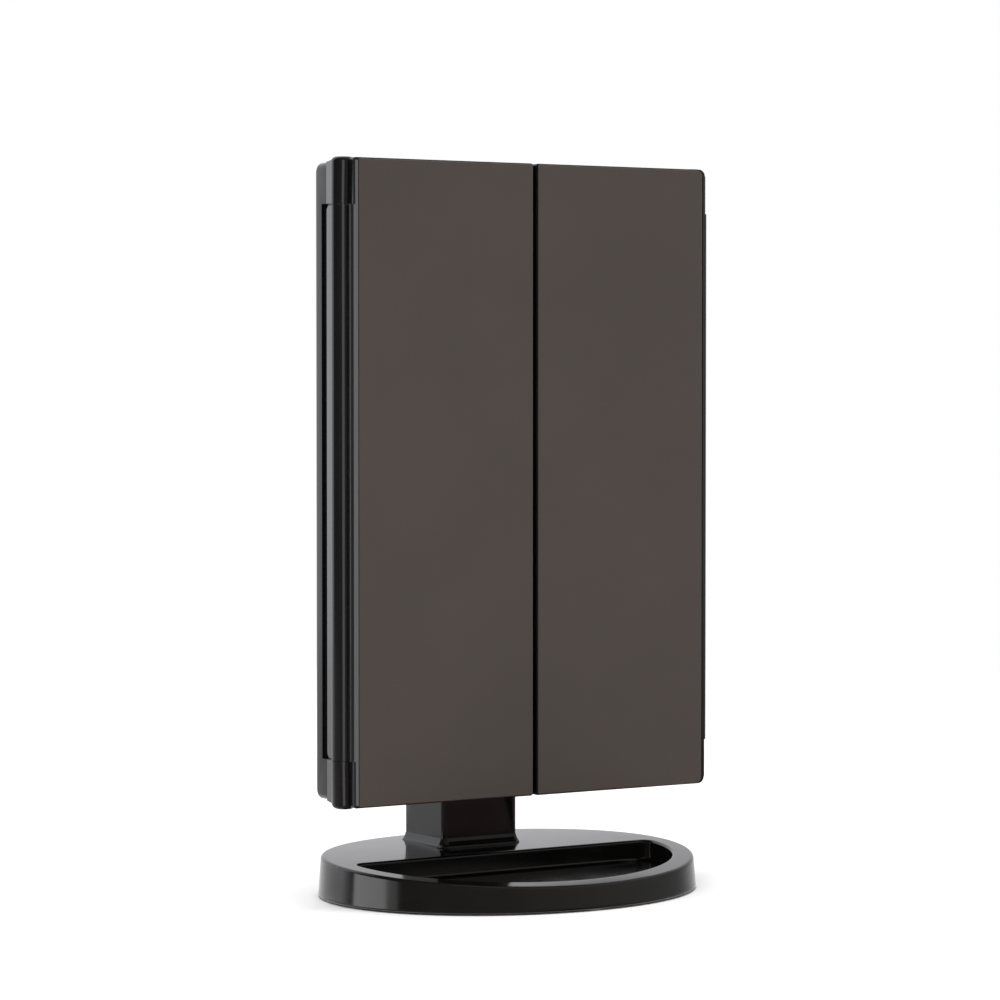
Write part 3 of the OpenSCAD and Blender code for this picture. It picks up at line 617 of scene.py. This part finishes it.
def add_panel_light(name, place, aim, size, watts, seen_in):
    """A soft box; only the pieces named in seen_in reflect it, and then it lights nothing else."""
    data = bpy.data.lights.new(name, "AREA")
    data.shape = "RECTANGLE"
    data.size, data.size_y = size
    data.energy = watts
    light = add_object(name, data)
    light.location = place
    light.visible_camera = False
    light.visible_glossy = bool(seen_in)
    if seen_in:
        light.visible_diffuse = False
        receivers = bpy.data.collections.new(name + "_receivers")
        for piece in seen_in:
            receivers.objects.link(bpy.data.objects[piece])
        light.light_linking.receiver_collection = receivers
    light.rotation_euler = (Vector(aim) - Vector(place)).to_track_quat("-Z", "Y").to_euler()


# What glossy surfaces see, by bearing: degrees from the front, positive to the left, then colour.
# LOW_ROUND is for rays that point further down than LOW_SLOPE.
LEVEL_ROUND = [
    (-180, (0.95, 0.95, 0.97)), (-130, (0.8, 0.8, 0.82)), (-95, (0.3, 0.3, 0.3)),
    (-50, (0.38, 0.37, 0.36)), (-15, (0.34, 0.32, 0.3)), (15, (0.2, 0.17, 0.15)),
    (60, (0.16, 0.14, 0.13)), (100, (0.06, 0.06, 0.06)),
    (128, (0.07, 0.07, 0.07)), (142, (1.15, 1.17, 1.22)), (180, (0.95, 0.95, 0.97)),
]
LOW_ROUND = [
    (-180, (0.95, 0.95, 0.96)), (-130, (0.8, 0.8, 0.8)), (-95, (0.42, 0.42, 0.4)),
    (-55, (0.3, 0.26, 0.24)), (-28, (0.12, 0.055, 0.04)), (0, (0.2, 0.14, 0.12)),
    (60, (0.2, 0.18, 0.17)), (120, (0.4, 0.4, 0.4)), (138, (0.7, 0.7, 0.7)), (180, (0.85, 0.85, 0.86)),
]
LOW_SLOPE = -0.075

# What matt surfaces and the camera see
SOFT_FILL = (0.76, 0.75, 0.75)
WHITE = (1, 1, 1)


def bearing_ramp(tree, bearing, stops):
    """The colours of the stops, by a bearing that runs from 0 behind, round by the right, to 1."""
    ramp = tree.nodes.new("ShaderNodeValToRGB")
    elements = ramp.color_ramp.elements
    while len(elements) < len(stops):
        elements.new(0.5)
    for element, (degrees, colour) in zip(elements, stops):
        element.position = (degrees + 180) / 360
        element.color = (*colour, 1)
    tree.links.new(bearing, ramp.inputs["Fac"])
    return ramp.outputs["Color"]


def maths(tree, operation, *values):
    """A maths node's output; each value is a socket or a number."""
    node = tree.nodes.new("ShaderNodeMath")
    node.operation = operation
    for socket, value in zip(node.inputs, values):
        if isinstance(value, bpy.types.NodeSocket):
            tree.links.new(value, socket)
        else:
            socket.default_value = value
    return node.outputs["Value"]


def add_world():
    """White to the eye, even for soft light, and light and dark bands in reflections."""
    world = bpy.data.worlds.new("studio")
    world.use_nodes = True
    tree = world.node_tree
    path = tree.nodes.new("ShaderNodeLightPath")
    split = tree.nodes.new("ShaderNodeSeparateXYZ")
    coords = tree.nodes.new("ShaderNodeTexCoord")
    tree.links.new(coords.outputs["Generated"], split.inputs["Vector"])
    left = maths(tree, "MULTIPLY", split.outputs["X"], -1.0)
    front = maths(tree, "MULTIPLY", split.outputs["Y"], -1.0)
    turn = maths(tree, "ARCTAN2", left, front)
    bearing = maths(tree, "MULTIPLY_ADD", turn, 0.5 / math.pi, 0.5)
    low = maths(tree, "LESS_THAN", split.outputs["Z"], LOW_SLOPE)
    level_round = bearing_ramp(tree, bearing, LEVEL_ROUND)
    low_round = bearing_ramp(tree, bearing, LOW_ROUND)
    seen = mixed(tree, low, level_round, low_round)
    seen = mixed(tree, path.outputs["Is Diffuse Ray"], seen, SOFT_FILL)
    seen = mixed(tree, path.outputs["Is Camera Ray"], seen, WHITE)
    tree.links.new(seen, tree.nodes["Background"].inputs["Color"])
    bpy.context.scene.world = world
    bpy.context.scene.view_settings.view_transform = "Standard"


BASE_SKIN = ("base_shell_skin",)
HINGE_SIDE = ("centre_frame_detail", "left_wing_frame_detail")
GLASSES = (
    "centre_mirror_detail", "right_mirror_detail", "left_upper_mirror_dish", "left_lower_mirror_dish",
)

# Name, place, aim, size, watts, and the only pieces that reflect it
LIGHTS = [
    ("left_box", (-1.3, -0.7, 0.9), (0, 0, 0.15), (0.8, 0.8), 3, ()),
    ("side_glow", (-1.4, 0.46, 0.02), (0, 0, 0.01), (0.86, 0.7), 3.6, BASE_SKIN),
    ("side_halo", (-1.45, 0.36, 0.02), (0, 0, 0.01), (1.16, 0.7), 2.2, BASE_SKIN),
    ("strip_glow", (-0.85, -1.25, 0.2), (-0.08, 0, 0.16), (0.55, 1.3), 3.2, HINGE_SIDE),
    ("top_box", (0, -0.1, 2.2), (0, 0, 0), (1.3, 1.3), 34, ()),
    ("mirror_glow", (0.4, -2.6, 0.3), (0, 0, 0.15), (3.4, 2.6), 13, GLASSES),
]

add_camera()
add_floor()
add_world()
for light in LIGHTS:
    add_panel_light(*light)
